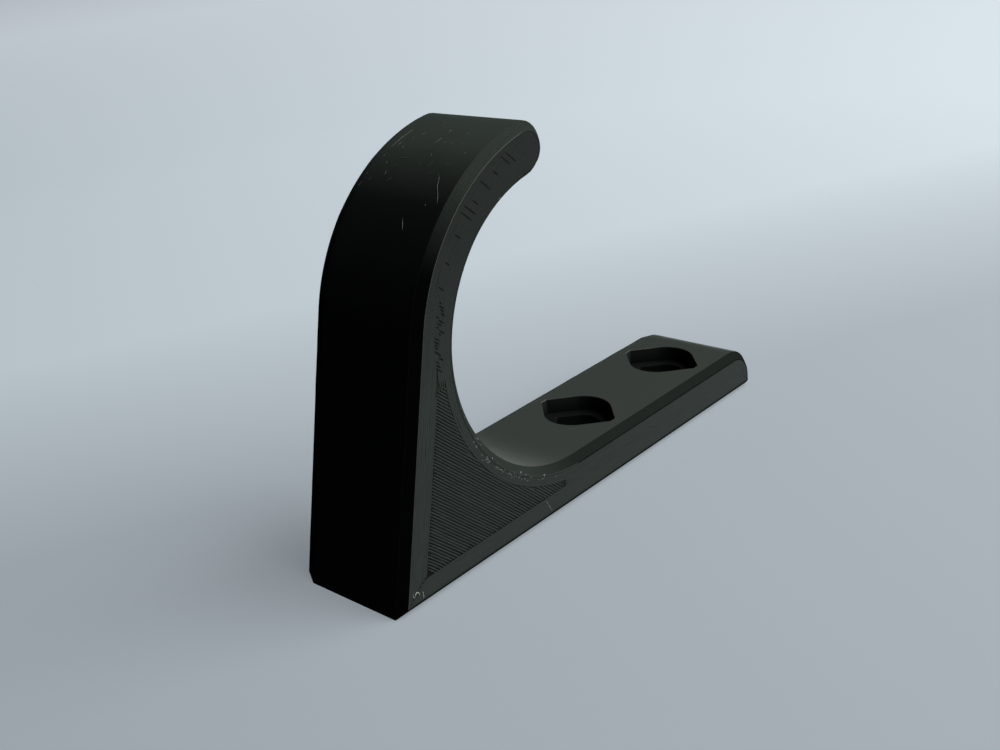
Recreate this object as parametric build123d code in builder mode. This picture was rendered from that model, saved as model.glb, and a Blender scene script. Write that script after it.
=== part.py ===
"""Printed wall hook, made in one piece.

The hook lies on its wall face, as it would before it is screwed up. Z points out of the
wall, X runs along the plate from the hook's heavy corner towards the plate's free end,
and Y runs across the hook. The origin is on the wall face, midway between the screws.
"""
from build123d import *
from math import cos, radians, sin, sqrt, tan
import os

os.makedirs("parts", exist_ok=True)

# Driving sizes, in millimetres and degrees
hook_width = 20.0
plate_thickness = 7.5
arm_thickness = 7.5
throat_radius = 22.0
arm_lean = 15.0
arm_shortfall = 10.0
plate_end_radius = 5.0

# The near side's bevel is even, and the far side's is steeper
near_bevel = 1.2
far_bevel_inset = 0.8
far_bevel_depth = 2.0

# Screw places along the plate
throat_to_first_screw = 12.0
screw_pitch = 23.0
last_screw_to_end = 12.5

# Screw holes and the pockets that their heads sink into
screw_diameter = 6.0
screw_clearance = 1.0
hole_tip_width = 0.5
head_diameter = 10.2
head_clearance = 0.6
pocket_tip_width = 1.2
pocket_depth = 2.5

# Places that follow from the sizes above
first_screw_x = -screw_pitch / 2
last_screw_x = screw_pitch / 2
plate_end_x = last_screw_x + last_screw_to_end
throat_x = first_screw_x - throat_to_first_screw
throat_z = plate_thickness + throat_radius
back_radius = throat_radius + arm_thickness
middle_radius = throat_radius + arm_thickness / 2


def around_throat(radius, angle):
    """Point at a radius from the throat's centre, the angle counted from straight up
    towards the hook's back."""
    turn = radians(angle)
    return throat_x - radius * sin(turn), throat_z + radius * cos(turn)


# The leaning back face leaves the outer arc along its tangent and runs down to the wall face
lean_angle = 90 - arm_lean
back_top = around_throat(back_radius, lean_angle)
heel = back_top[0] - back_top[1] * tan(radians(arm_lean)), 0
arm_arc = lean_angle - arm_shortfall
throat_arc = 180 - arm_shortfall

# The nose is a half round between the ends of the two arcs
nose_top = around_throat(back_radius, arm_shortfall)
nose_bottom = around_throat(throat_radius, arm_shortfall)
nose_centre = around_throat(middle_radius, arm_shortfall)

# The plate's top corner is rounded and its bottom corner is sharp
plate_end_bend = plate_end_x - plate_end_radius, plate_thickness - plate_end_radius


def pointed_opening(diameter, tip_width):
    """Round opening drawn out to a blunt point at both ends along the hook's width.

    The sloping sides stand at 45 degrees, so the hole closes by itself when the hook is
    printed on its side.
    """
    radius = diameter / 2
    shoulder = radius / sqrt(2)
    half_tip = tip_width / 2
    tip = radius * sqrt(2) - half_tip
    Circle(radius)
    Polygon(
        (shoulder, shoulder),
        (half_tip, tip),
        (-half_tip, tip),
        (-shoulder, shoulder),
        (-shoulder, -shoulder),
        (-half_tip, -tip),
        (half_tip, -tip),
        (shoulder, -shoulder),
    )


with BuildPart() as hook:
    # Side outline, from the heel up the back, over the nose and down into the plate
    with BuildSketch(Plane.XZ):
        with BuildLine():
            Line(heel, back_top)
            CenterArc((throat_x, throat_z), back_radius, 90 + lean_angle, -arm_arc)
            CenterArc(nose_centre, arm_thickness / 2, 90 + arm_shortfall, -180)
            CenterArc((throat_x, throat_z), throat_radius, 90 + arm_shortfall, throat_arc)
            Line((throat_x, plate_thickness), (plate_end_bend[0], plate_thickness))
            CenterArc(plate_end_bend, plate_end_radius, 90, -90)
            Line((plate_end_x, plate_end_bend[1]), (plate_end_x, 0))
            Line((plate_end_x, 0), heel)
        make_face()
    extrude(amount=hook_width / 2, both=True)

    # Bevels round the whole outline, on the near side and then on the far side
    near_side = hook.faces().sort_by(Axis.Y)[0]
    chamfer(near_side.edges(), length=near_bevel)
    far_side = hook.faces().sort_by(Axis.Y)[-1]
    chamfer(far_side.edges(), length=far_bevel_inset, length2=far_bevel_depth, reference=far_side)

    # Pockets for the screw heads, sunk from the plate's top
    with BuildSketch(Plane.XY.offset(plate_thickness)):
        with Locations((first_screw_x, 0), (last_screw_x, 0)):
            pointed_opening(head_diameter + head_clearance, pocket_tip_width)
    extrude(amount=-pocket_depth, mode=Mode.SUBTRACT)

    # Screw holes through the rest of the plate
    with BuildSketch(Plane.XY):
        with Locations((first_screw_x, 0), (last_screw_x, 0)):
            pointed_opening(screw_diameter + screw_clearance, hole_tip_width)
    extrude(amount=plate_thickness, mode=Mode.SUBTRACT)

hook.part.label = "hook"
export_step(hook.part, "parts/hook.step")
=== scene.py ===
"""Looks of a black printed wall hook: its layers, its printed lines and its plastic.

The hook was printed lying on its +Y side, so its layers stack along Y. The near side, at
-Y, is the last layer: outline loops, with slanting lines that fill the heavy corner.
"""
import math

import bpy
import numpy as np
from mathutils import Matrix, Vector
from mathutils.geometry import tessellate_polygon


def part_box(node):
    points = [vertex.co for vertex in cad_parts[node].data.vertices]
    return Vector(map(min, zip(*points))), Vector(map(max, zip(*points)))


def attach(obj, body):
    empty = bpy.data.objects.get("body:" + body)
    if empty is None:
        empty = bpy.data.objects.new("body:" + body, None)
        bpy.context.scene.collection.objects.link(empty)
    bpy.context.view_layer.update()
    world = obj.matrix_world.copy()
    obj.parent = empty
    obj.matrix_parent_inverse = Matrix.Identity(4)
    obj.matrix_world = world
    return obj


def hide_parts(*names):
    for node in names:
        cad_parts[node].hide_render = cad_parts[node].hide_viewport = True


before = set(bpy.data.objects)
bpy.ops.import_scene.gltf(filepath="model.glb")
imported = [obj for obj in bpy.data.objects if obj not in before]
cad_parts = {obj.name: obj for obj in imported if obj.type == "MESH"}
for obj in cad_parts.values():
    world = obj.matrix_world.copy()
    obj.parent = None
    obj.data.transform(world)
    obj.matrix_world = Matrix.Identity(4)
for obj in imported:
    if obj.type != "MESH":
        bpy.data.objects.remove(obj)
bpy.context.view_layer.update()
hook_low, hook_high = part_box("hook")

bl_info = {
    "name": "Printed wall hook",
    "version": (1, 0, 0),
    "blender": (4, 5, 0),
    "location": "View3D > Sidebar > Wall hook",
    "description": "Builds the printed surface of a one-piece wall hook and its stage",
    "category": "Add Mesh",
}

MM = 0.001
BODY = "root"


def length_property(name, description, default):
    return bpy.props.FloatProperty(name=name, description=description, default=default, unit="LENGTH")


def angle_property(name, description, default):
    return bpy.props.FloatProperty(name=name, description=description, default=default, subtype="ANGLE")


def factor_property(name, description, default):
    return bpy.props.FloatProperty(
        name=name, description=description, default=default, subtype="FACTOR", min=0, max=1
    )


def power_property(name, description, default):
    return bpy.props.FloatProperty(name=name, description=description, default=default, unit="POWER")


def count_property(name, description, default):
    return bpy.props.IntProperty(name=name, description=description, default=default)


def colour_property(name, description, default):
    return bpy.props.FloatVectorProperty(
        name=name, description=description, default=default, subtype="COLOR", size=3
    )


class HookShape(bpy.types.PropertyGroup):
    """The hook's own sizes."""

    width: length_property("Width", "Width of the hook across its sides", hook_high.y - hook_low.y)
    plate_thickness: length_property(
        "Plate thickness", "Thickness of the plate between the wall and the screw heads", 7.5 * MM
    )
    arm_thickness: length_property(
        "Arm thickness", "Thickness of the arm between its two arcs", 7.5 * MM
    )
    throat_radius: length_property(
        "Throat radius", "Radius of the round throat that holds the load", 22 * MM
    )
    arm_lean: angle_property("Arm lean", "Lean of the back face over the plate", math.radians(15))
    arm_shortfall: angle_property(
        "Arm shortfall", "Angle by which the arm stops short of the throat's top", math.radians(10)
    )
    plate_end_radius: length_property(
        "Plate end radius", "Radius of the plate's top corner at its free end", 5 * MM
    )
    near_bevel: length_property(
        "Near bevel", "Size of the even bevel round the near side", 1.2 * MM
    )
    far_bevel_inset: length_property(
        "Far bevel inset", "How far the far side's bevel cuts into the outline", 0.8 * MM
    )
    far_bevel_depth: length_property(
        "Far bevel depth", "How far the far side's bevel reaches across the hook", 2 * MM
    )
    first_screw_gap: length_property(
        "First screw gap", "From the throat's centre to the first screw", 12 * MM
    )
    screw_pitch: length_property("Screw pitch", "Distance between the two screws", 23 * MM)
    hole_radius: length_property(
        "Hole radius", "Radius of the round part of each screw hole", 3.5 * MM
    )
    hole_tip: length_property("Hole tip", "Width of the blunt points of each screw hole", 0.5 * MM)
    pocket_radius: length_property(
        "Pocket radius", "Radius of the round part of each pocket", 5.4 * MM
    )
    pocket_tip: length_property("Pocket tip", "Width of the blunt points of each pocket", 1.2 * MM)
    pocket_depth: length_property(
        "Pocket depth", "Depth that a screw's head sinks into the plate", 2.5 * MM
    )


class PrintSettings(bpy.types.PropertyGroup):
    """How the plastic was laid."""

    layer_height: length_property("Layer height", "Height of one layer across the hook", 0.12 * MM)
    line_pitch: length_property(
        "Line pitch", "Distance between two printed lines side by side", 0.389 * MM
    )
    fill_groove: length_property(
        "Fill groove", "Depth of the groove between two lines of the fill", 0.10 * MM
    )
    loop_groove: length_property(
        "Loop groove",
        "Depth of the groove between two loops, which are pressed together",
        0.016 * MM,
    )
    sunk: length_property(
        "Sunk", "Depth of the near lines' crests under the rim of the side", 0.04 * MM
    )
    bed: length_property(
        "Bed", "Depth under a side's surface of the flat that its lines lie on", 0.14 * MM
    )
    rim_radius: length_property(
        "Rim radius", "Rounding of the last layer's edge, beside the bevel", 0.07 * MM
    )
    whole_loops: count_property("Whole loops", "Loops that run round the whole side", 4)
    outer_loops: count_property(
        "Outer loops", "Loops beside the back, the plate and the arm, whole ones included", 7
    )
    fill_angle: angle_property(
        "Fill angle", "Slope of the lines that fill the heavy corner", math.radians(-43.15)
    )
    fill_top: length_property("Fill top", "Height on the arm where the fill ends", 28.6 * MM)
    fill_end: length_property(
        "Fill end",
        "Distance along the plate from the throat's centre to the fill's end",
        -4.4 * MM,
    )
    point_spacing: length_property(
        "Point spacing", "Distance between points along a line or an outline", 0.8 * MM
    )
    seed: count_property("Seed", "Start of the random unevenness of the print", 11)


class PlasticSettings(bpy.types.PropertyGroup):
    """Colours and gloss of the plastic, with its painted shade and painted highlights."""

    colour: colour_property("Colour", "Colour of the smooth plastic", (0.039, 0.048, 0.043))
    # Painted shade down in the grooves between the lines, and the own dark colour of the strokes
    stroke_and_groove_shade_colour: colour_property(
        "Groove colour", "Colour between the printed lines and of the strokes", (0.007, 0.009, 0.008)
    )
    # Painted shade: the colour that the outer face, the pockets and the bevel steps turn to
    painted_shade_colour: colour_property(
        "Deep colour", "Black of the outer face, pockets and bevels", (0.003, 0.0035, 0.0033)
    )
    # Painted shade on the outer face, which faces away from the key lamp
    outer_painted_shade: factor_property(
        "Outer depth", "How far the outer face turns to the deep colour", 0.8
    )
    # Painted shade in the pockets and screw holes
    pocket_depth: factor_property(
        "Pocket depth", "How far the pockets and screw holes turn to the deep colour", 0.9
    )
    # Painted shade in the creases of the near bevel's steps along the plate
    step_painted_shade: factor_property(
        "Step depth", "How far the plate's near bevel turns to the deep colour", 0.58
    )
    # Painted highlight on the rim of the back and the arm and on the throat's saddle
    painted_highlight_colour: colour_property(
        "Rim colour", "Colour of the worn edge and of the throat's saddle", (0.075, 0.08, 0.07)
    )
    scuff_colour: colour_property(
        "Scuff colour", "Colour of the scuffs and wisps on the outer face", (0.13, 0.14, 0.13)
    )
    # Lumps are coloured lighter than the plastic as a painted highlight
    lump_painted_highlight_colour: colour_property(
        "Lump colour", "Colour of the lumps on the near side", (0.09, 0.10, 0.095)
    )
    wisp_colour: colour_property(
        "Wisp colour", "Colour of the wisp by the heel and of the scratch", (0.55, 0.57, 0.53)
    )
    outer_gloss: factor_property(
        "Outer gloss", "Specular level of the outer face, which is dull", 0.0
    )
    inner_gloss: factor_property("Inner gloss", "Specular level of the throat and the plate", 0.7)
    # Painted shade on the side of the arm, darker towards its top
    arm_painted_shade: factor_property(
        "Arm depth", "How much darker the side of the arm is towards its top", 0.38
    )
    roughness: factor_property("Roughness", "Roughness of the smooth plastic", 0.37)


class StageSettings(bpy.types.PropertyGroup):
    """Floor, light and camera."""

    floor_colour: colour_property("Floor colour", "Colour of the pale floor", (0.66, 0.73, 0.78))
    near_floor_colour: colour_property(
        "Near floor colour", "Colour of the floor away from the light", (0.36, 0.41, 0.45)
    )
    unseen_floor_colour: colour_property(
        "Unseen floor colour", "Colour of what the floor throws back", (0.03, 0.033, 0.036)
    )
    floor_lit_share: factor_property(
        "Floor lit share",
        "Share of the floor's brightness that the lamps give, and that shadows darken",
        0.47,
    )
    key_strength: power_property("Key strength", "Power of the large soft lamp", 30.6)
    fill_strength: power_property(
        "Fill strength", "Power of the weak bluish lamp on the far side", 1.1
    )
    backdrop_colour: colour_property(
        "Backdrop colour",
        "Colour of the backdrop where the camera sees it, and of the floor far away",
        (0.43, 0.465, 0.5),
    )
    sky_strength: bpy.props.FloatProperty(
        name="Sky strength",
        description="Strength of the even light that the backdrop throws from all round",
        default=0.03,
    )
    camera_place: bpy.props.FloatVectorProperty(
        name="Camera place",
        description="Where the camera stands",
        default=(-150.855 * MM, -121.387 * MM, 94.407 * MM),
        subtype="TRANSLATION",
        size=3,
    )
    camera_turn: bpy.props.FloatVectorProperty(
        name="Camera turn",
        description="How the camera is turned",
        default=(math.radians(66.604), math.radians(6.308), math.radians(-48.06)),
        subtype="EULER",
        size=3,
    )
    camera_lens: bpy.props.FloatProperty(
        name="Camera lens",
        description="Focal length in millimetres on a 36 mm sensor",
        default=45.85,
    )


def in_space(flat, y):
    """Points given in X and Z, placed at Y."""
    return np.column_stack([flat[:, 0], np.broadcast_to(y, len(flat)), flat[:, 1]])


class Outline:
    """The hook's side outline, drawn in by any inset, as points in X and Z."""

    def __init__(self, shape, spacing):
        self.shape = shape
        self.spacing = spacing
        self.first_screw = -shape.screw_pitch / 2
        self.last_screw = shape.screw_pitch / 2
        self.throat = np.array(
            [self.first_screw - shape.first_screw_gap, shape.plate_thickness + shape.throat_radius]
        )
        self.back_radius = shape.throat_radius + shape.arm_thickness
        self.lean_angle = math.pi / 2 - shape.arm_lean
        top = self.around_throat(self.back_radius, self.lean_angle)
        self.heel = np.array([top[0] - top[1] * math.tan(shape.arm_lean), 0.0])
        self.nose = self.around_throat(
            shape.throat_radius + shape.arm_thickness / 2, shape.arm_shortfall
        )
        self.plate_end = hook_high.x
        self.corner = np.array([self.plate_end, shape.plate_thickness]) - shape.plate_end_radius

    def around_throat(self, radius, turn):
        """Points at a radius from the throat's centre, turned from straight up to the back."""
        turn = np.asarray(turn)
        return np.stack(
            [self.throat[0] - radius * np.sin(turn), self.throat[1] + radius * np.cos(turn)], -1
        )

    def arc(self, centre, full_radius, growth, start, end):
        """Arc between two angles, counted anticlockwise from +X, without its last point.

        It is drawn at the full radius plus its growth, with as many points at any growth.
        """
        steps = max(3, round(abs(end - start) * full_radius / self.spacing))
        angle = np.linspace(start, end, steps, endpoint=False)
        radius = max(full_radius + growth, 0.01 * MM)
        return centre + radius * np.stack([np.cos(angle), np.sin(angle)], -1)

    def line(self, start, end, full_length):
        """Straight run without its last point."""
        steps = max(2, round(full_length / self.spacing))
        share = np.linspace(0, 1, steps, endpoint=False)[:, None]
        return np.asarray(start) * (1 - share) + np.asarray(end) * share

    def stretches(self, inset=0.0):
        """The outline in eight named stretches, each with as many points at any inset."""
        shape = self.shape
        lean, short = self.lean_angle, shape.arm_shortfall
        right = math.pi / 2
        back_top = self.around_throat(self.back_radius - inset, lean)
        heel = np.array([back_top[0] - (back_top[1] - inset) * math.tan(shape.arm_lean), inset])
        plate_top = shape.plate_thickness - inset
        end = self.plate_end - inset
        throat_low = np.array([self.throat[0], plate_top])
        corner_left = np.array([self.corner[0], plate_top])
        corner_right = np.array([end, self.corner[1]])
        foot_end = np.array([end, inset])
        full_back = np.linalg.norm(self.around_throat(self.back_radius, lean) - self.heel)
        return {
            "back": self.line(heel, back_top, full_back),
            "crown": self.arc(self.throat, self.back_radius, -inset, right + lean, right + short),
            "nose": self.arc(
                self.nose, shape.arm_thickness / 2, -inset, right + short, short - right
            ),
            "throat": self.arc(self.throat, shape.throat_radius, inset, right + short, 3 * right),
            "plate": self.line(throat_low, corner_left, self.corner[0] - self.throat[0]),
            "corner": self.arc(self.corner, shape.plate_end_radius, -inset, right, 0),
            "end": self.line(corner_right, foot_end, self.corner[1]),
            "foot": self.line(foot_end, heel, self.plate_end - self.heel[0]),
        }

    def points(self, inset=0.0):
        """The closed outline at an inset."""
        return np.vstack(list(self.stretches(inset).values()))

    def places(self):
        """Where each stretch starts in points, and where the last one ends."""
        counts = [len(run) for run in self.stretches().values()]
        starts = np.concatenate([[0], np.cumsum(counts)])
        return dict(zip([*self.stretches(), "close"], starts))


def put_in_scene(name, data):
    """A new object with this mesh, lamp or camera."""
    thing = bpy.data.objects.new(name, data)
    bpy.context.scene.collection.objects.link(thing)
    return thing


class Skin:
    """Points and faces gathered for one mesh."""

    def __init__(self):
        self.points = []
        self.faces = []
        self.count = 0

    def add_points(self, points):
        """Adds points and returns their numbers, in the same arrangement."""
        points = np.asarray(points, float)
        numbers = self.count + np.arange(points[..., 0].size).reshape(points.shape[:-1])
        self.points.append(points.reshape(-1, 3))
        self.count += numbers.size
        return numbers

    def add_band(self, numbers, skip=None):
        """Faces between rings of point numbers, leaving out the marked cells."""
        numbers = np.concatenate([numbers, numbers[:, :1]], 1)
        cells = np.stack(
            [numbers[:-1, :-1], numbers[:-1, 1:], numbers[1:, 1:], numbers[1:, :-1]], -1
        )
        keep = np.ones(cells.shape[:2], bool) if skip is None else ~skip
        self.faces += cells[keep].tolist()

    def add_tube(self, rings):
        """A tube through rings of points, closed at both ends."""
        numbers = self.add_points(rings)
        self.add_band(numbers)
        self.faces += [numbers[0].tolist(), numbers[-1][::-1].tolist()]

    def add_flat(self, loops, axis):
        """Triangles that fill a flat outline and leave its holes open."""
        flat = [loop.ravel().tolist() for loop in loops]
        numbers = sum(flat, [])
        everything = np.vstack(self.points)
        rings = [
            [Vector([*np.delete(everything[number], axis), 0.0]) for number in loop] for loop in flat
        ]
        self.faces += [[numbers[i] for i in face] for face in tessellate_polygon(rings)]

    def make(self, name, material, sharp_angle=math.radians(60), shades=None):
        """Turns the gathered skin into an object that rides on the hook's body."""
        mesh = bpy.data.meshes.new(name)
        mesh.from_pydata(np.vstack(self.points).tolist(), [], self.faces)
        if shades is not None:
            mesh.attributes.new("shade", "FLOAT", "POINT").data.foreach_set("value", shades)
        mesh.validate()
        mesh.materials.append(material)
        mesh.shade_smooth()
        mesh.set_sharp_from_angle(angle=sharp_angle)
        piece = put_in_scene(name, mesh)
        tidy_normals(piece)
        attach(piece, BODY)
        return piece


def tidy_normals(piece):
    """Turns every face outwards."""
    bpy.context.view_layer.objects.active = piece
    piece.select_set(True)
    bpy.ops.object.mode_set(mode="EDIT")
    bpy.ops.mesh.select_all(action="SELECT")
    bpy.ops.mesh.normals_make_consistent(inside=False)
    bpy.ops.object.mode_set(mode="OBJECT")
    piece.select_set(False)


def pointed_opening(radius, tip_width, centre, height):
    """Round opening drawn out to a blunt point at both ends along Y, as a ring of points."""
    shoulder = radius / math.sqrt(2)
    half_tip = tip_width / 2
    tip = radius * math.sqrt(2) - half_tip
    bend = np.linspace(math.pi / 4, -math.pi / 4, 25)
    right = np.stack([radius * np.cos(bend), radius * np.sin(bend)], -1)
    share = np.linspace(0, 1, 7)[1:, None]
    down = right[-1] * (1 - share) + np.array([half_tip, -tip]) * share
    up = np.array([-shoulder, -shoulder]) * share + np.array([-half_tip, -tip]) * (1 - share)
    half = np.vstack([right, down, [[-half_tip, -tip]], up[:-1]])
    ring = np.vstack([half, -half])
    return np.column_stack([ring + [centre, 0], np.full(len(ring), height)])


def bevel_rows(inset, depth, printing):
    """Insets and depths of the rows that follow a bevel's layers, from the side to the wall.

    They start on the flat under the side's lines, and the last layer has a rounded rim.
    """
    layers = round(depth / printing.layer_height)
    height = depth / layers
    bulge = 0.12 * height
    rim = printing.rim_radius
    edge = inset * (1 - 0.5 / layers)
    turns = np.linspace(math.pi / 2, 0, 6)
    rows = [(edge + 2 * rim, printing.bed), (edge + 1.8 * rim, 0.0)]
    rows += [(edge + rim * (1 - math.cos(t)), rim * (1 - math.sin(t))) for t in turns]
    rows.append((edge + bulge, height))
    for layer in range(1, layers):
        edge = inset * (1 - (layer + 0.5) / layers)
        start = layer * height
        rows += [
            (edge + bulge, start),
            (edge, start + height / 2),
            (edge + bulge, start + height),
        ]
    rows.append((0.0, depth))
    return rows


def fade(turns, start, end):
    """0 before the start, 1 beyond the end, and a straight ramp between."""
    return np.clip((turns - start) / (end - start), 0, 1)


def wall_shades(shape, plastic, places, near_end, grid_size):
    """How far each point of the walls and bevels turns to the painted shade colour.

    The outer face, which turns away from the key lamp, gets a painted shade deeper than the throat. The
    steps of the near bevel get painted shade along the plate and the back, and keep the wall's colour
    on the arm.
    Below zero the shade turns to the painted highlight colour. All turns are in degrees, from straight
    up to the back.
    """
    back = slice(places["back"], places["crown"])
    crown = slice(places["crown"], places["nose"])
    throat = slice(places["throat"], places["plate"])
    plate = slice(places["plate"], places["close"])
    short = math.degrees(shape.arm_shortfall)
    crown_turns = np.linspace(90 - math.degrees(shape.arm_lean), short, crown.stop - crown.start)
    throat_turns = np.linspace(short, 180, throat.stop - throat.start)

    shades = np.zeros(grid_size)
    shades[:, back] = plastic.outer_painted_shade
    shades[:, crown] = plastic.outer_painted_shade * fade(crown_turns, 22, 42)

    # Painted shade in the steps of the near bevel, which darkens over the last points of the throat
    run_in = 14
    steps = np.zeros(grid_size[1])
    steps[plate] = plastic.step_painted_shade
    steps[plate.start - run_in : plate.start] = plastic.step_painted_shade * np.linspace(0, 1, run_in)
    steps[back] = 1
    steps[crown] = fade(crown_turns, 34, 60)
    shades[1:near_end] = steps

    # Rounded rim of the last layer: painted shade along the plate, painted highlight along the back and
    # the arm
    rim_rows = slice(2, 7)
    rim = np.zeros(grid_size[1])
    rim[plate] = 1
    rim[back.start : crown.stop] = -1
    shades[rim_rows] = rim

    # Painted highlight on the near edge of the throat's saddle, palest in its middle
    saddle_turn, saddle_reach = 155, 22
    from_saddle = np.abs(throat_turns - saddle_turn) / saddle_reach
    shades[near_end, throat] = -np.clip(1 - from_saddle, 0, 1)
    return shades.ravel()


def build_body(shape, printing, plastic, material):
    """The body, with stepped bevels, pockets and screw holes, and plain sides under the lines."""
    outline = Outline(shape, printing.point_spacing)
    skin = Skin()
    half = shape.width / 2
    places = outline.places()
    near_rows = bevel_rows(shape.near_bevel, shape.near_bevel, printing)
    far_rows = bevel_rows(shape.far_bevel_inset, shape.far_bevel_depth, printing)
    rows = [(inset, -half + depth) for inset, depth in near_rows]
    rows += [(inset, half - depth) for inset, depth in reversed(far_rows)]
    numbers = skin.add_points([in_space(outline.points(inset), y) for inset, y in rows])
    shades = wall_shades(shape, plastic, places, len(near_rows) - 1, numbers.shape)

    wall = len(near_rows) - 1
    margin = 1.5 * shape.pocket_radius
    ring = outline.points()
    spans = {}
    for name, stop in (("plate", "corner"), ("foot", "close")):
        run = np.arange(places[name], places[stop])
        inside = run[np.abs(ring[run, 0]) < outline.last_screw + margin]
        spans[name] = (inside[0], inside[-1])
    skip = np.zeros(numbers.shape, bool)[:-1]
    for start, end in spans.values():
        skip[wall, start:end] = True
    skin.add_band(numbers, skip=skip)
    skin.add_flat([numbers[0]], axis=1)
    skin.add_flat([numbers[-1]], axis=1)

    lip = 0.06 * MM
    floor = shape.plate_thickness - shape.pocket_depth
    top_rings = []
    foot_rings = []
    for centre in (outline.first_screw, outline.last_screw):
        profile = [
            (shape.pocket_radius + lip, shape.pocket_tip, shape.plate_thickness),
            (shape.pocket_radius, shape.pocket_tip, shape.plate_thickness - lip),
            (shape.pocket_radius, shape.pocket_tip, floor),
            (shape.hole_radius + lip, shape.hole_tip, floor),
            (shape.hole_radius, shape.hole_tip, floor - lip),
            (shape.hole_radius, shape.hole_tip, lip),
            (shape.hole_radius + lip, shape.hole_tip, 0.0),
        ]
        opening = skin.add_points([pointed_opening(r, tip, centre, z) for r, tip, z in profile])
        skin.add_band(opening)
        top_rings.append(opening[0])
        foot_rings.append(opening[-1])
    for name, rings in (("plate", top_rings), ("foot", foot_rings)):
        start, end = spans[name]
        edge = np.concatenate(
            [numbers[wall, start : end + 1], numbers[wall + 1, start : end + 1][::-1]]
        )
        skin.add_flat([edge, *rings], axis=2)
    # Painted shade in the pockets and screw holes: none at the top lip and at the hole's foot, deepest
    # on the walls and floors
    pocket = plastic.pocket_depth * np.array([0, 0.7, 1, 1, 1, 1, 0])
    pocket = np.tile(np.repeat(pocket, len(top_rings[0])), 2)
    shades = np.concatenate([shades, pocket])
    piece = skin.make("hook_body", material, sharp_angle=math.radians(28), shades=shades)
    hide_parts("hook")


def start_piece(shape, printing, number):
    """The outline, an empty skin and the random numbers of a piece with its own number."""
    random = np.random.default_rng(printing.seed + number)
    return Outline(shape, printing.point_spacing), Skin(), random


def smooth_noise(random, count, reach):
    """Random numbers about zero that change slowly along a line."""
    knots = max(4, math.ceil(count / reach) + 3)
    return np.interp(
        np.linspace(0, knots - 1, count), np.arange(knots), random.standard_normal(knots)
    )


def lay_line(skin, path, width, crest, groove, bed, inwards, random, closed=False):
    """One printed line: a flattened round strip along a path in X and Z, closed all round.

    Its crest and the groove beside it are as deep as given, and its foot is at bed.
    """
    count = len(path)
    if closed:
        along = np.roll(path, -1, 0) - np.roll(path, 1, 0)
    else:
        along = np.gradient(path, axis=0)
    along /= np.linalg.norm(along, axis=1, keepdims=True) + 1e-12
    across = np.stack([-along[:, 1], along[:, 0]], -1)
    wander = 0.035 * width * smooth_noise(random, count, 4)
    spread = 1 + 0.07 * smooth_noise(random, count, 2)
    sink = 0.14 * groove * np.abs(smooth_noise(random, count, 3))
    if closed:
        seam_points = 6
        taper = np.minimum(1, np.minimum(np.arange(count), np.arange(count)[::-1]) / seam_points)
        wander, spread, sink = wander * taper, 1 + (spread - 1) * taper, sink * taper
    else:
        spread[[0, -1]] *= 0.6
        sink[[0, -1]] = 0.1 * groove
    rows = []
    # Offsets as shares of the width, and depths as shares of the groove
    profile = ((-0.5, 1.0), (-0.33, 0.22), (0.0, 0.0), (0.33, 0.22), (0.5, 1.0))
    foot = (0.46, -0.46)
    for offset, share in profile:
        flat = path + across * (wander + offset * width * spread)[:, None]
        down = sink + share * (groove - sink)
        rows.append(in_space(flat, crest + inwards * down))
    for offset in foot:
        flat = path + across * (wander + offset * width * spread)[:, None]
        rows.append(in_space(flat, crest + inwards * bed))
    rings = np.stack(rows, 1)
    if closed:
        numbers = skin.add_points(rings)
        skin.add_band(np.concatenate([numbers, numbers[:1]], 0))
    else:
        skin.add_tube(rings)


def beside_fill(outline, printing, points):
    """Marks the points that lie next to the fill, along the throat."""
    return (points[:, 1] < printing.fill_top) & (
        points[:, 0] < outline.throat[0] + printing.fill_end
    )


def far_loops(shape, printing):
    """Number of loops on the far side, as many as the arm has room for."""
    return math.floor((shape.arm_thickness / 2 - shape.far_bevel_inset) / printing.line_pitch)


def loop_paths(outline, shape, printing):
    """Paths of the outline loops, each with whether it is closed."""
    places = outline.places()
    paths = []
    for loop in range(printing.outer_loops):
        inset = shape.near_bevel + (loop + 0.5) * printing.line_pitch
        ring = outline.points(inset)
        if loop < printing.whole_loops:
            paths.append((ring, True))
            continue
        marked = np.zeros(len(ring), bool)
        throat = slice(places["throat"], places["plate"])
        marked[throat] = beside_fill(outline, printing, ring[throat])
        last = np.flatnonzero(marked)[-1]
        turned = np.roll(np.arange(len(ring)), -(last + 1))
        paths.append((ring[turned[~marked[turned]]], False))
    inset = shape.near_bevel + (printing.outer_loops + 0.5) * printing.line_pitch
    runs = outline.stretches(inset)
    back = runs["back"]
    paths.append((back[back[:, 1] < printing.fill_top], False))
    return paths


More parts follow.
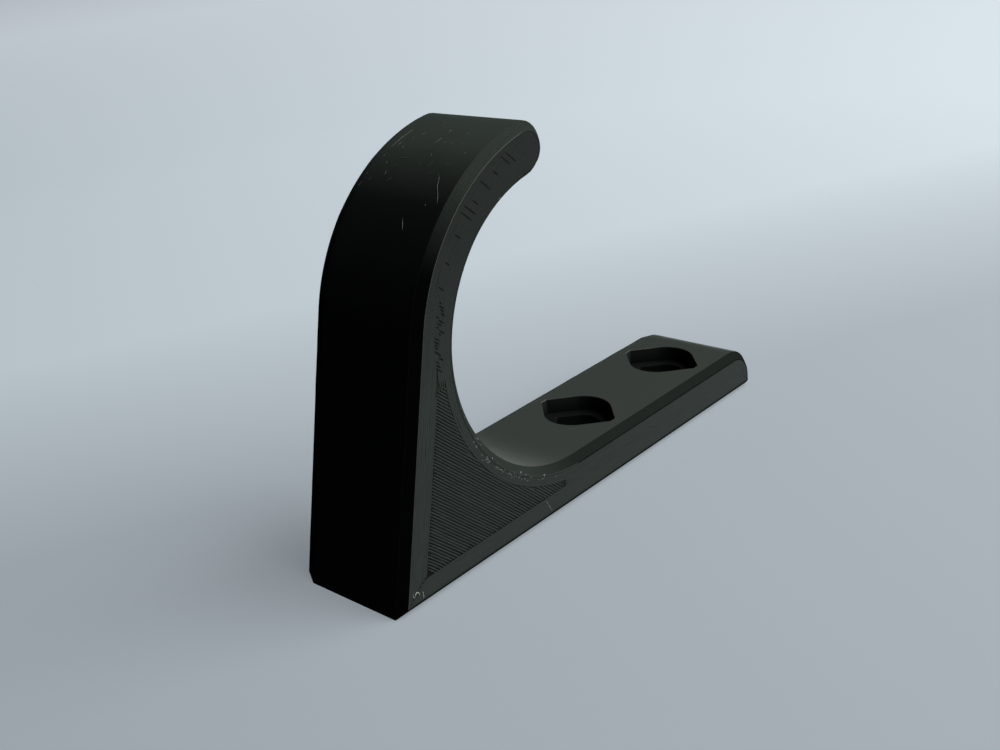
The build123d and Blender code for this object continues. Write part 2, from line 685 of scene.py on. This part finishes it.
def fill_paths(outline, shape, printing, random, near=True):
    """Slanting paths that fill the heavy corner between the loops of a side."""
    pitch = printing.line_pitch
    lean = shape.arm_lean
    if near:
        side_inset, turn = shape.near_bevel, printing.fill_angle
        outer, inner = printing.outer_loops, printing.whole_loops
    else:
        side_inset, turn = shape.far_bevel_inset, printing.fill_angle + math.pi / 2
        outer = inner = far_loops(shape, printing)
    foot_inset = side_inset + (outer - 0.15) * pitch
    back_inset = foot_inset + near * pitch
    throat_reach = shape.throat_radius + side_inset + (inner - 0.1) * pitch
    along = np.array([math.cos(turn), math.sin(turn)])
    across = np.array([-along[1], along[0]])
    step, shortest = 0.05 * MM, 0.6 * MM
    reach = np.arange(-60 * MM, 60 * MM, step)
    centre = np.array([outline.heel[0], 0.0])
    paths = []
    for number in range(-10 if near else -160, 160):
        slack = 0.16 * MM * random.standard_normal(4)
        line = centre + across * number * pitch + along * reach[:, None]
        from_heel = line - outline.heel
        back_gap = from_heel[:, 0] * math.cos(lean) - from_heel[:, 1] * math.sin(lean)
        inside = (
            (back_gap > back_inset + slack[0])
            & (line[:, 1] > foot_inset + slack[1])
            & (np.linalg.norm(line - outline.throat, axis=1) > throat_reach + slack[2])
            & (line[:, 1] < printing.fill_top)
            & (line[:, 0] < outline.throat[0] + printing.fill_end + slack[3])
        )
        edges = np.flatnonzero(np.diff(np.concatenate([[0], inside.astype(int), [0]])))
        for start, stop in edges.reshape(-1, 2):
            length = (stop - start) * step
            if length < shortest:
                continue
            steps = max(3, round(length / printing.point_spacing))
            paths.append(line[np.linspace(start, stop - 1, steps).astype(int)])
    return paths


def lay_strand(skin, path, radius):
    """A thin six-sided strand of plastic along points in space, drawn to a point at both ends."""
    along = np.gradient(path, axis=0)
    along /= np.linalg.norm(along, axis=1, keepdims=True)
    clear_of_all = [0.2, 0.93, 0.3]
    side = np.cross(along, clear_of_all)
    side /= np.linalg.norm(side, axis=1, keepdims=True)
    up = np.cross(side, along)
    taper = np.sqrt(np.sin(np.linspace(0.06, math.pi - 0.06, len(path))))
    turns = np.linspace(0, 2 * math.pi, 6, endpoint=False)[None, :, None]
    rings = (side[:, None] * np.cos(turns) + up[:, None] * np.sin(turns)) * radius
    points = path[:, None] + rings * taper[:, None, None]
    points[..., 1] = np.maximum(points[..., 1], hook_low.y)
    skin.add_tube(points)


def lay_lump(skin, place, size, face, random):
    """A small uneven lump of plastic, no higher than the near side's face."""
    turns = np.linspace(0, 2 * math.pi, 8, endpoint=False)
    circle = np.stack([np.cos(turns), np.sin(turns)], -1)
    rings = []
    for tilt in np.radians([-72, -36, 0, 36, 72]):
        reach = size * (1 + 0.22 * random.standard_normal(8)).clip(0.5, 1.4)
        flat = (reach * math.cos(tilt))[:, None] * circle
        rings.append(in_space(flat, 0.7 * size * math.sin(tilt)))
    points = np.array(rings) + place
    points[..., 1] = np.maximum(points[..., 1], face)
    skin.add_tube(points)


def near_depth(shape, outline, flat):
    """How deep the near bevel along the throat lies under the near side at a place in X and Z."""
    reach = np.linalg.norm(flat - outline.throat, axis=-1) - shape.throat_radius
    return np.clip(shape.near_bevel - reach, 0, shape.near_bevel)


def build_saddle_lumps(shape, printing, material):
    """Lumps and drips where the fill meets the bevel of the throat, and along the arm's inside."""
    outline, skin, random = start_piece(shape, printing, 2)
    face = -shape.width / 2
    rim = shape.throat_radius + shape.near_bevel
    # Each cluster's turn round the throat, its spread in degrees and its number of lumps
    clusters = ((118, 1.2, 7), (126, 2.5, 16), (134, 2, 5), (144, 3.5, 18), (157, 4, 10))
    for turn, spread, count in clusters:
        for _ in range(count):
            size = random.uniform(0.12, 0.3) * MM
            radius = rim + random.normal(0.4, 0.35) * MM
            place = outline.around_throat(radius, math.radians(random.normal(turn, spread)))
            depth = near_depth(shape, outline, place) + 0.7 * size
            lay_lump(skin, [place[0], face + depth, place[1]], size, face, random)
    back = outline.stretches(shape.near_bevel + 0.05 * MM)["back"]
    small_lumps = 45
    for _ in range(small_lumps):
        place = back[0] + (back[-1] - back[0]) * random.uniform(0.04, 1)
        size = random.uniform(0.05, 0.1) * MM
        lay_lump(skin, [place[0], face + 0.9 * size, place[1]], size, face, random)
    streak = outline.around_throat(
        np.linspace(rim - 1.1 * MM, rim + 0.3 * MM, 6), np.radians(np.linspace(116.5, 118.5, 6))
    )
    depth = near_depth(shape, outline, streak) + 0.12 * MM
    lay_strand(skin, in_space(streak, face + depth), 0.13 * MM)
    turn = math.radians(13)
    while turn < math.radians(112):
        turn += random.uniform(0.9, 2.6) * MM / rim
        length = random.uniform(0.25, 0.75) * MM / rim
        radius = rim - random.choice([0.02, 0.3, 1.0]) * MM
        run = outline.around_throat(radius, np.linspace(turn, turn + length, 5))
        depth = near_depth(shape, outline, run) + 0.05 * MM
        lay_strand(skin, in_space(run, face + depth), random.uniform(0.06, 0.11) * MM)
    skin.make("saddle_lumps", material)


def build_arm_strokes(shape, printing, material):
    """Short strokes of the solid fill that show through the arm's last layer."""
    outline, skin, random = start_piece(shape, printing, 3)
    face = -shape.width / 2
    along = np.array([math.cos(printing.fill_angle), math.sin(printing.fill_angle)])
    # Each stroke's turn round the throat, its distance from the throat and its length
    strokes = [(turn, 5.6, random.uniform(2.0, 2.8)) for turn in (18.5, 20.5, 30.5, 39, 41)]
    strokes += [(turn, 4.8, random.uniform(0.8, 1.5)) for turn in (25, 36, 47, 55, 62)]
    strokes += [
        (turn, random.uniform(3.4, 4.4), random.uniform(0.5, 1.3)) for turn in range(66, 86)
    ]
    for turn, reach, length in strokes:
        start = outline.around_throat(shape.throat_radius + reach * MM, math.radians(turn))
        flat = start + along * np.linspace(0, length * MM, 8)[:, None]
        lay_strand(skin, in_space(flat, face + printing.sunk + 0.01 * MM), 0.11 * MM)
    skin.make("arm_strokes", material)


def build_corner_curl(shape, printing, material):
    """A curled wisp stuck to the near side by the heel, and a scratch by the foot."""
    outline = Outline(shape, printing.point_spacing)
    skin = Skin()
    face = -shape.width / 2
    curl = [(2.75, 3.3), (2.72, 3.0), (2.7, 2.5), (2.95, 2.3), (3.15, 2.75), (3.45, 2.9)]
    curl += [(3.75, 2.65), (3.9, 2.1), (4.0, 1.6)]
    tail = [(4.35, 2.6), (4.5, 2.2), (4.5, 1.7), (4.4, 1.35)]
    for run, radius in ((curl, 0.1), (tail, 0.05)):
        flat = np.array(run) * MM + outline.heel
        lay_strand(skin, in_space(flat, face + (radius + 0.005) * MM), radius * MM)
    scratch = np.linspace([30.2, 3.7], [31.3, 1.4], 7) * MM + outline.heel
    lay_strand(skin, in_space(scratch, face + 0.05 * MM), 0.028 * MM)
    skin.make("corner_curl", material)


def build_crown_scuffs(shape, printing, material):
    """Scratches and loose wisps on the outer face, as turns round the throat and places across."""
    outline, skin, random = start_piece(shape, printing, 4)
    runs = [
        ((26, 7.1), (22, 6.8), (18, 6.4)),
        ((25, 6.2), (23.5, 6.0)),
        ((29.8, 4.4), (29.4, 3.4), (29.3, 2.3)),
        ((26, 5.1), (25, 5.0)),
        ((20.3, 3.9), (18.8, 3.6)),
        ((23, 0.1), (20.2, -0.2)),
        ((24.8, 0.4), (24.4, 0.2)),
        ((25.7, -6.4), (25.1, -6.5)),
        ((34, -2.8), (32.2, -3.7)),
        ((32.7, -4.4), (34.2, -5.3), (36.9, -5.9), (39.5, -6.9), (41.8, -7.5)),
        ((47, -2.8), (50, -3.6)),
        ((42.2, -5.5), (42.8, -5.7)),
        ((13.5, 3.4), (13.3, 2.9)),
    ]
    placed, scattered = len(runs), 26
    for _ in range(scattered):
        turn, across = random.uniform(15, 40), random.uniform(-7.5, 8)
        end = (turn + random.normal(0.6, 0.5), across + random.normal(0, 0.25))
        runs.append(((turn, across), end))
    for number, run in enumerate(runs):
        turns, across = np.array(run).T
        steps = np.linspace(0, len(run) - 1, 4 * len(run))
        turns = np.radians(np.interp(steps, np.arange(len(run)), turns))
        across = np.interp(steps, np.arange(len(run)), across) * MM
        flat = outline.around_throat(outline.back_radius + 0.01 * MM, turns)
        thick, thin = 0.034 * MM, 0.022 * MM
        lay_strand(skin, in_space(flat, across), thick if number < placed else thin)
    skin.make("crown_scuffs", material)


def build_near_side(shape, printing, material):
    """The last layer: outline loops, slanting fill and the rough line along the throat."""
    outline, skin, random = start_piece(shape, printing, 0)
    crest = printing.sunk - shape.width / 2
    loop_width, fill_width = 1.02 * printing.line_pitch, 0.86 * printing.line_pitch
    bed = printing.bed
    for path, closed in loop_paths(outline, shape, printing):
        lay_line(skin, path, loop_width, crest, printing.loop_groove, bed, 1, random, closed)
    for path in fill_paths(outline, shape, printing, random):
        lay_line(skin, path, fill_width, crest, printing.fill_groove, bed, 1, random)
    skin.make("near_side_lines", material)


def build_far_side(shape, printing, material):
    """The first layer: wider, flatter loops and fill, pressed against the print bed."""
    outline, skin, random = start_piece(shape, printing, 1)
    face = shape.width / 2
    width = 1.02 * printing.line_pitch
    groove = printing.loop_groove
    bed = printing.bed
    for loop in range(far_loops(shape, printing)):
        ring = outline.points(shape.far_bevel_inset + (loop + 0.5) * printing.line_pitch)
        lay_line(skin, ring, width, face, groove, bed, -1, random, True)
    for path in fill_paths(outline, shape, printing, random, near=False):
        lay_line(skin, path, width, face, 2 * groove, bed, -1, random)
    skin.make("far_side_lines", material)


# How fine the noises of the plastic are, in repeats per metre
GRAIN = 9000.0
SPECKLE = 5200.0
PATCHES = 3000.0
LINE_CLOUDS = 160.0
WALL_CLOUDS = 90.0
LAYER_BANDS = (40.0, 2500.0, 40.0)


class Wire:
    """A value in a material: arithmetic on it adds Math nodes."""

    def __init__(self, socket):
        self.socket = socket

    def maths(self, operation, *values):
        """Adds one Math node on values or wires."""
        tree = self.socket.id_data
        node = tree.nodes.new("ShaderNodeMath")
        node.operation = operation
        for place, value in zip(node.inputs, values):
            if isinstance(value, Wire):
                tree.links.new(value.socket, place)
            else:
                place.default_value = value
        return Wire(node.outputs[0])

    def between(self, low, high):
        """0 below low, 1 above high, and a straight ramp between."""
        share = (self - low) / (high - low)
        share.socket.node.use_clamp = True
        return share


def allow(sign, operation):
    """Lets a sign of arithmetic stand before or after a wire, as a Math node."""
    setattr(Wire, f"__{sign}__", lambda wire, other: wire.maths(operation, wire, other))
    setattr(Wire, f"__r{sign}__", lambda wire, other: wire.maths(operation, other, wire))


for sign, operation in (
    ("add", "ADD"),
    ("sub", "SUBTRACT"),
    ("mul", "MULTIPLY"),
    ("truediv", "DIVIDE"),
    ("pow", "POWER"),
):
    allow(sign, operation)


class Finish:
    """A material under construction."""

    def __init__(self, name):
        self.material = bpy.data.materials.new(name)
        self.material.use_nodes = True
        self.tree = self.material.node_tree
        self.tree.nodes.clear()

    def add(self, kind, settings=None, sockets=None):
        """Adds a node: its settings first, then the values or links of its sockets."""
        node = self.tree.nodes.new(kind)
        for name, value in (settings or {}).items():
            setattr(node, name, value)
        for key, value in (sockets or {}).items():
            if isinstance(value, Wire):
                self.tree.links.new(value.socket, node.inputs[key])
            else:
                node.inputs[key].default_value = value
        return node

    def object_place(self):
        """Where a point lies on the object."""
        return Wire(self.add("ShaderNodeTexCoord").outputs["Object"])

    def island(self):
        """A number from 0 to 1 that each loose part of the mesh has for itself."""
        return Wire(self.add("ShaderNodeNewGeometry").outputs["Random Per Island"])

    def split(self, place):
        """The X, Y and Z of a place."""
        node = self.add("ShaderNodeSeparateXYZ", sockets={0: place})
        return [Wire(socket) for socket in node.outputs]

    def noise(self, place, scale, detail=2.0, roughness=0.5):
        """Cloudy noise as a value from 0 to 1."""
        node = self.add(
            "ShaderNodeTexNoise",
            {"noise_dimensions": "3D"},
            {"Vector": place, "Scale": scale, "Detail": detail, "Roughness": roughness},
        )
        return Wire(node.outputs[0])

    def blend(self, share, first, second):
        """Mixes two colours by a value."""
        node = self.add(
            "ShaderNodeMix", {"data_type": "RGBA"}, {0: share, 6: first, 7: second}
        )
        return Wire(node.outputs[2])

    def stretch(self, place, scale):
        """Scales a place by a vector."""
        node = self.add("ShaderNodeVectorMath", {"operation": "MULTIPLY"}, {0: place, 1: scale})
        return Wire(node.outputs[0])

    def scaled(self, colour, share):
        """Scales a colour by a value."""
        node = self.add(
            "ShaderNodeVectorMath", {"operation": "SCALE"}, {0: colour, "Scale": share}
        )
        return Wire(node.outputs[0])

    def bump(self, relief):
        """Normals of a relief given in metres."""
        node = self.add(
            "ShaderNodeBump", sockets={"Height": relief, "Strength": 0.6, "Distance": 1.0}
        )
        return Wire(node.outputs[0])

    def principled(self, colour, roughness, gloss, others=None):
        """A plastic or paint of a colour, a roughness and a specular level."""
        sockets = {"Base Color": colour, "Roughness": roughness, "Specular IOR Level": gloss}
        node = self.add("ShaderNodeBsdfPrincipled", sockets={**sockets, **(others or {})})
        return Wire(node.outputs[0])

    def close(self, surface):
        """Joins the surface to the output and returns the material."""
        self.add("ShaderNodeOutputMaterial", sockets={"Surface": surface})
        return self.material


def opaque(colour, share=1):
    """A share of a colour, with its alpha."""
    return (*(share * part for part in colour), 1.0)


def wall_plastic(plastic, printing, shape):
    """The body's plastic: layer lines across Y, the painted shade and painted highlight of wall_shades,
    and a glossy throat.
    """
    finish = Finish("printed_plastic_walls")
    place = finish.object_place()
    along, across, height = finish.split(place)
    phase = across * (math.pi / printing.layer_height)
    wave = phase.maths("SINE", phase)
    layers = wave.maths("ABSOLUTE", wave)
    bands = finish.noise(finish.stretch(place, LAYER_BANDS), 1.0, 1.0)
    grain = finish.noise(place, GRAIN, 3.0)
    clouds = finish.noise(place, WALL_CLOUDS)
    colour = finish.blend(
        clouds.between(0.3, 0.7) * 0.5, opaque(plastic.colour), opaque(plastic.colour, 0.86)
    )
    # Painted shade where the shade attribute is above zero, painted highlight where it is below zero
    shade = Wire(finish.add("ShaderNodeAttribute", {"attribute_name": "shade"}).outputs["Fac"])
    colour = finish.blend(shade.between(0.0, 1.0), colour, opaque(plastic.painted_shade_colour))
    colour = finish.blend(shade.between(0.0, -1.0), colour, opaque(plastic.painted_highlight_colour))
    layer_relief, band_relief, grain_relief = 0.012 * MM, 0.010 * MM, 0.006 * MM
    relief = layers * layer_relief + bands * band_relief + grain * grain_relief
    normal = {"Normal": finish.bump(relief)}
    roughness = plastic.roughness + (clouds - 0.5) * 0.12 + (grain - 0.5) * 0.1

    throat = Outline(shape, printing.point_spacing).throat
    reach = ((along - throat[0]) ** 2.0 + (height - throat[1]) ** 2.0) ** 0.5
    gloss_start, gloss_end, plate_run, blur = 2 * MM, 5 * MM, 10 * MM, 0.1 * MM
    radius = shape.throat_radius
    inside = 1.0 - reach.between(radius + gloss_start, radius + gloss_end)
    inside = inside.maths("MAXIMUM", inside, along.between(throat[0], throat[0] + plate_run))
    bevel_end = shape.near_bevel - shape.width / 2
    inside = inside * across.between(bevel_end - blur, bevel_end + blur)
    inside = inside * (1.0 - shade.between(0.0, 1.0))
    outer = finish.principled(colour, roughness, plastic.outer_gloss, normal)
    inner = finish.principled(colour, roughness, plastic.inner_gloss, normal)
    surface = finish.add("ShaderNodeMixShader", sockets={0: inside, 1: outer, 2: inner})
    return finish.close(Wire(surface.outputs[0]))


def line_plastic(name, plastic, groove, crest_place, inwards):
    """The lines' plastic: painted shade down in the grooves and up the arm, with each line a little
    different.
    """
    finish = Finish(name)
    place = finish.object_place()
    _, across, height = finish.split(place)
    depth = (across - crest_place) * float(inwards)
    speckle = finish.noise(place, SPECKLE, 3.0, 0.6)
    clouds = finish.noise(place, LINE_CLOUDS)
    smooth = plastic.colour
    crest = finish.blend(finish.island() * 0.35, opaque(smooth, 0.82), opaque(smooth, 0.5))
    crest = finish.blend(speckle.between(0.52, 0.75) * 0.55, crest, opaque(smooth, 0.45))
    # Painted shade: the lines turn darker up the arm
    arm_start, arm_top = 28 * MM, 47 * MM
    up_the_arm = height.between(arm_start, arm_top)
    crest = finish.blend(up_the_arm * plastic.arm_painted_shade, crest, (0.0, 0.0, 0.0, 1.0))
    # Painted shade down in the grooves, in patches
    groove_painted_shade = depth.between(0.35 * groove, 1.1 * groove) * clouds.between(0.15, 0.4)
    colour = finish.blend(groove_painted_shade, crest, opaque(plastic.stroke_and_groove_shade_colour))
    roughness = plastic.roughness + (clouds - 0.5) * 0.15
    line_gloss, speckle_relief = 0.1, 0.012 * MM
    normal = {"Normal": finish.bump(speckle * speckle_relief)}
    return finish.close(finish.principled(colour, roughness, line_gloss, normal))


def loose_plastic(name, colour, roughness, gloss=0.5):
    """Plain plastic of a lump, a stroke or a wisp, a little uneven."""
    finish = Finish(name)
    patches = finish.noise(finish.object_place(), PATCHES)
    share = (finish.island() * 0.6 + patches * 0.5).between(0.1, 1.0)
    shade = finish.blend(share, opaque(colour, 0.35), opaque(colour))
    return finish.close(finish.principled(shade, roughness + (patches - 0.5) * 0.1, gloss))


def any_ray(rays, *kinds):
    """1 for a ray of any of these kinds."""
    seen = Wire(rays[kinds[0]])
    for kind in kinds[1:]:
        seen = seen.maths("MAXIMUM", seen, Wire(rays[kind]))
    return seen


def build_floor(stage):
    """A wide pale floor that keeps the hook's shadow and throws little light back on it.

    Where it is seen, the lamps give a share of its brightness and it gives the rest itself.
    Far from the hook the lamps' share fades and its colour turns to the backdrop's.
    """
    finish = Finish("pale_floor")
    rays = finish.add("ShaderNodeLightPath").outputs
    seen = any_ray(rays, "Is Camera Ray", "Is Glossy Ray", "Is Transmission Ray")
    along, across, _ = finish.split(Wire(finish.add("ShaderNodeNewGeometry").outputs["Position"]))
    # Painted light on the floor: paler towards the key lamp, and brighter in a band behind the hook
    towards_light = (along * 0.8 - across * 0.2).between(-0.15, 0.45)
    tone = finish.blend(towards_light, opaque(stage.near_floor_colour), opaque(stage.floor_colour))
    painted_light_behind_hook = (along * 0.5 + across).between(0.01, 0.11)
    tone = finish.scaled(tone, 0.9 + 0.38 * painted_light_behind_hook)
    reach = (along ** 2.0 + across ** 2.0) ** 0.5
    tone = finish.blend(reach.between(0.25, 1.2), tone, opaque(stage.backdrop_colour))
    lit_share = stage.floor_lit_share * (1.0 - reach.between(0.3, 0.75))
    lit = finish.scaled(tone, lit_share)
    glow = finish.blend(seen, (0.0, 0.0, 0.0, 1.0), finish.scaled(tone, 1.0 - lit_share))
    surface = finish.principled(
        finish.blend(seen, opaque(stage.unseen_floor_colour), lit),
        1.0,
        0.0,
        {"Emission Color": glow, "Emission Strength": 1.0},
    )
    half_size = 12.0
    signs = ((-1, -1), (1, -1), (1, 1), (-1, 1))
    mesh = bpy.data.meshes.new("floor")
    mesh.from_pydata([(half_size * x, half_size * y, 0) for x, y in signs], [], [(0, 1, 2, 3)])
    mesh.materials.append(finish.close(surface))
    put_in_scene("floor", mesh)


def add_lamp(name, place, aim, size, power, colour):
    """A large square lamp that points at a place."""
    lamp = bpy.data.lights.new(name, "AREA")
    lamp.shape = "SQUARE"
    lamp.size = size
    lamp.energy = power
    lamp.color = colour
    holder = put_in_scene(name, lamp)
    holder.location = place
    holder.rotation_euler = (Vector(aim) - Vector(place)).to_track_quat("-Z", "Y").to_euler()
    return holder


class HookStep:
    """One step of the build, which takes its settings from the scene."""

    def execute(self, context):
        scene = context.scene
        self.build(scene.hook_shape, scene.hook_print, scene.hook_plastic)
        return {"FINISHED"}


class HOOK_OT_body(HookStep, bpy.types.Operator):
    """Build the body with its stepped bevels, pockets and screw holes"""

    bl_idname = "hook.body"
    bl_label = "Build body"

    def build(self, shape, printing, plastic):
        build_body(shape, printing, plastic, wall_plastic(plastic, printing, shape))


class HOOK_OT_near_side(HookStep, bpy.types.Operator):
    """Lay the printed lines of the near side"""

    bl_idname = "hook.near_side"
    bl_label = "Lay near side"

    def build(self, shape, printing, plastic):
        crest, groove = printing.sunk - shape.width / 2, printing.fill_groove
        material = line_plastic("printed_plastic_near_lines", plastic, groove, crest, 1)
        build_near_side(shape, printing, material)


class HOOK_OT_far_side(HookStep, bpy.types.Operator):
    """Lay the printed lines of the far side"""

    bl_idname = "hook.far_side"
    bl_label = "Lay far side"

    def build(self, shape, printing, plastic):
        crest, groove = shape.width / 2, printing.fill_groove
        material = line_plastic("printed_plastic_far_lines", plastic, groove, crest, -1)
        build_far_side(shape, printing, material)


class HOOK_OT_lumps(HookStep, bpy.types.Operator):
    """Add the lumps by the throat, the strokes on the arm and the curl by the heel"""

    bl_idname = "hook.lumps"
    bl_label = "Add lumps and wisps"

    def build(self, shape, printing, plastic):
        lumps = loose_plastic("printed_plastic_lumps", plastic.lump_painted_highlight_colour, plastic.roughness)
        wisps = loose_plastic("printed_plastic_wisps", plastic.wisp_colour, 0.3)
        build_saddle_lumps(shape, printing, lumps)
        strokes = loose_plastic("printed_plastic_strokes", plastic.stroke_and_groove_shade_colour, 0.5, 0.1)
        build_arm_strokes(shape, printing, strokes)
        build_corner_curl(shape, printing, wisps)


class HOOK_OT_scuffs(HookStep, bpy.types.Operator):
    """Add the scratches and wisps on the outer face"""

    bl_idname = "hook.scuffs"
    bl_label = "Add scuffs"

    def build(self, shape, printing, plastic):
        scuffs = loose_plastic("printed_plastic_scuffs", plastic.scuff_colour, 0.5)
        build_crown_scuffs(shape, printing, scuffs)


class HOOK_OT_stage(bpy.types.Operator):
    """Set the floor, the soft lamps and the camera"""

    bl_idname = "hook.stage"
    bl_label = "Set stage"

    def execute(self, context):
        scene = context.scene
        stage = scene.hook_stage
        build_floor(stage)
        aim = (-0.02, 0, 0.02)
        key_place, key_size, key_colour = (0.525, -0.779, 0.907), 1.3, (1, 1, 0.98)
        add_lamp("key", key_place, aim, key_size, stage.key_strength, key_colour)
        fill_place, fill_size, fill_colour = (0.12, 1.13, 0.2), 0.6, (0.8, 0.92, 1)
        fill = add_lamp("fill", fill_place, aim, fill_size, stage.fill_strength, fill_colour)
        fill.visible_glossy = False
        world = bpy.data.worlds.new("soft_sky")
        world.use_nodes = True
        nodes, links = world.node_tree.nodes, world.node_tree.links
        background = nodes["Background"]
        background.inputs["Color"].default_value = opaque(stage.backdrop_colour)
        rays = nodes.new("ShaderNodeLightPath").outputs
        seen = any_ray(rays, "Is Camera Ray", "Is Transmission Ray")
        strength = seen * (1 - stage.sky_strength) + stage.sky_strength
        links.new(strength.socket, background.inputs["Strength"])
        scene.world = world
        camera = bpy.data.cameras.new("camera")
        camera.lens = stage.camera_lens
        camera.sensor_width = 36
        camera.clip_start = 0.005
        scene.camera = put_in_scene("camera", camera)
        scene.camera.location = stage.camera_place
        scene.camera.rotation_euler = stage.camera_turn
        scene.view_settings.view_transform = "Standard"
        return {"FINISHED"}


class HOOK_PT_panel(bpy.types.Panel):
    """The steps that build the printed hook"""

    bl_idname = "HOOK_PT_panel"
    bl_label = "Wall hook"
    bl_space_type = "VIEW_3D"
    bl_region_type = "UI"
    bl_category = "Wall hook"

    def draw(self, context):
        for operator in OPERATORS:
            self.layout.operator(operator.bl_idname)


OPERATORS = (
    HOOK_OT_body,
    HOOK_OT_near_side,
    HOOK_OT_far_side,
    HOOK_OT_lumps,
    HOOK_OT_scuffs,
    HOOK_OT_stage,
)
GROUPS = {
    "hook_shape": HookShape,
    "hook_print": PrintSettings,
    "hook_plastic": PlasticSettings,
    "hook_stage": StageSettings,
}


def register():
    for group in GROUPS.values():
        bpy.utils.register_class(group)
    for name, group in GROUPS.items():
        setattr(bpy.types.Scene, name, bpy.props.PointerProperty(type=group))
    for operator in (*OPERATORS, HOOK_PT_panel):
        bpy.utils.register_class(operator)


def unregister():
    for operator in reversed((*OPERATORS, HOOK_PT_panel)):
        bpy.utils.unregister_class(operator)
    for name, group in GROUPS.items():
        delattr(bpy.types.Scene, name)
        bpy.utils.unregister_class(group)


def main():
    """Builds the hook and its stage."""
    register()
    bpy.ops.hook.body()
    bpy.ops.hook.near_side()
    bpy.ops.hook.far_side()
    bpy.ops.hook.lumps()
    bpy.ops.hook.scuffs()
    bpy.ops.hook.stage()


if __name__ == "__main__":
    main()
